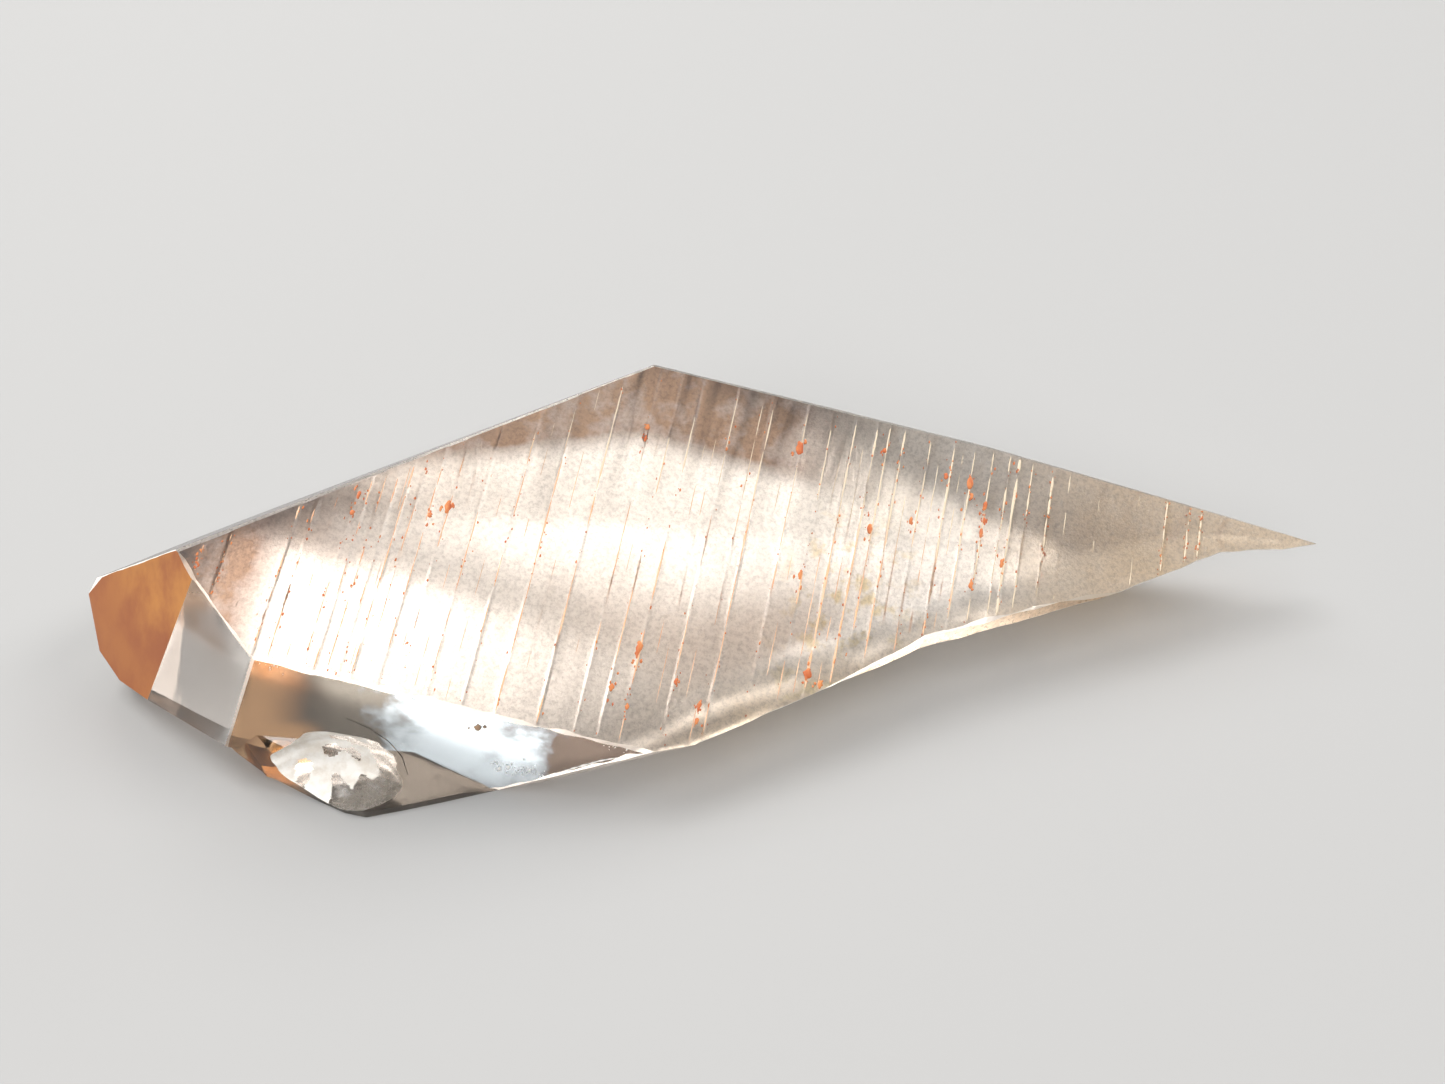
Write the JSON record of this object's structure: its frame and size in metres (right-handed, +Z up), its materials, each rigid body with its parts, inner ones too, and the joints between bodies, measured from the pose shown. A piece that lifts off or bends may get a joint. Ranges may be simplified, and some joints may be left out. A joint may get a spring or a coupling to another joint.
{
  "type": "lemurian quartz crystal",
  "caption": "Clear, flattened quartz crystal with a sharp point, rusty end and growth lines across its broad face, lying on a flat facet.",
  "frame": {"origin": "on the surface it lies on, under the middle of its bounding box", "axes": "+X level, above the crystal's c axis and towards its point; +Z up; the broad striped face looks up and towards -Y"},
  "size_m": [0.0628, 0.0202, 0.0131],
  "materials": {
    "quartz": "clear see-through quartz with frosted, pinkish-tan prism faces crossed by fine growth lines, glassy end faces and breaks, and rust-red hematite specks"
  },
  "bodies": {
    "root": {"crystal": "quartz"}
  },
  "joints": []
}
